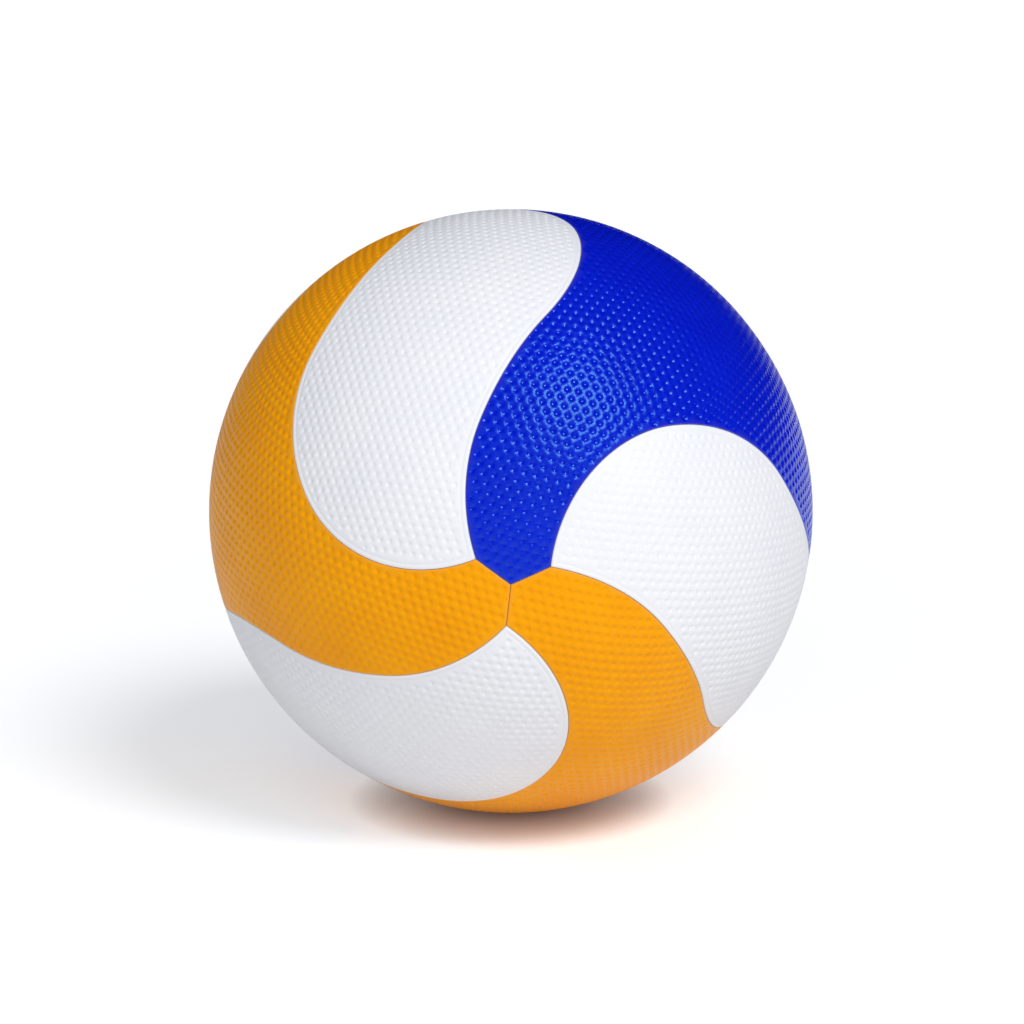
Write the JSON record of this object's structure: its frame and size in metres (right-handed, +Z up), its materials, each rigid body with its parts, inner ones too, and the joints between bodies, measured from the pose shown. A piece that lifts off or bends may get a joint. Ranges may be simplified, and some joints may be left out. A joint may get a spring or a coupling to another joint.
{
  "type": "volleyball",
  "caption": "Round inflatable indoor volleyball with swirling white, blue and orange cover panels over foam, carcass, winding and bladder, and a needle valve at the back.",
  "frame": {"origin": "centre of the ball", "axes": "+Z up from the floor, -Y to the front where three coloured arms meet, +Y out along the needle valve, +X to the right seen from the front"},
  "size_m": [0.21, 0.2099, 0.2099],
  "materials": {
    "cover_white": "semi-gloss dimpled synthetic leather",
    "cover_blue": "semi-gloss dimpled synthetic leather",
    "cover_orange": "semi-gloss dimpled synthetic leather",
    "foam": "matt closed-cell foam",
    "carcass_rubber": "matt natural rubber",
    "winding_thread": "wound nylon thread",
    "bladder_rubber": "smooth butyl rubber",
    "valve_rubber": "moulded rubber",
    "core_rubber": "moulded rubber"
  },
  "bodies": {
    "ball": {"cover_white_front_top": "cover_white", "cover_white_front_right": "cover_white", "cover_white_front_low": "cover_white", "cover_white_back_top": "cover_white", "cover_white_back_left": "cover_white", "cover_white_back_low": "cover_white", "cover_blue_front": "cover_blue", "cover_blue_back": "cover_blue", "cover_orange_left": "cover_orange", "cover_orange_bottom": "cover_orange", "foam_white_front_top": "foam", "foam_white_front_right": "foam", "foam_white_front_low": "foam", "foam_white_back_top": "foam", "foam_white_back_left": "foam", "foam_white_back_low": "foam", "foam_blue_front": "foam", "foam_blue_back": "foam", "foam_orange_left": "foam", "foam_orange_bottom": "foam", "rubber_carcass": "carcass_rubber", "thread_winding": "winding_thread", "bladder": "bladder_rubber", "valve_housing": "valve_rubber"},
    "valve_core": {"valve_core": "core_rubber"}
  },
  "joints": [
    {"name": "valve_core_pull", "type": "slide", "parent": "ball", "child": "valve_core", "axis": [0, 1, 0], "range_m": [0, 0.016]}
  ]
}
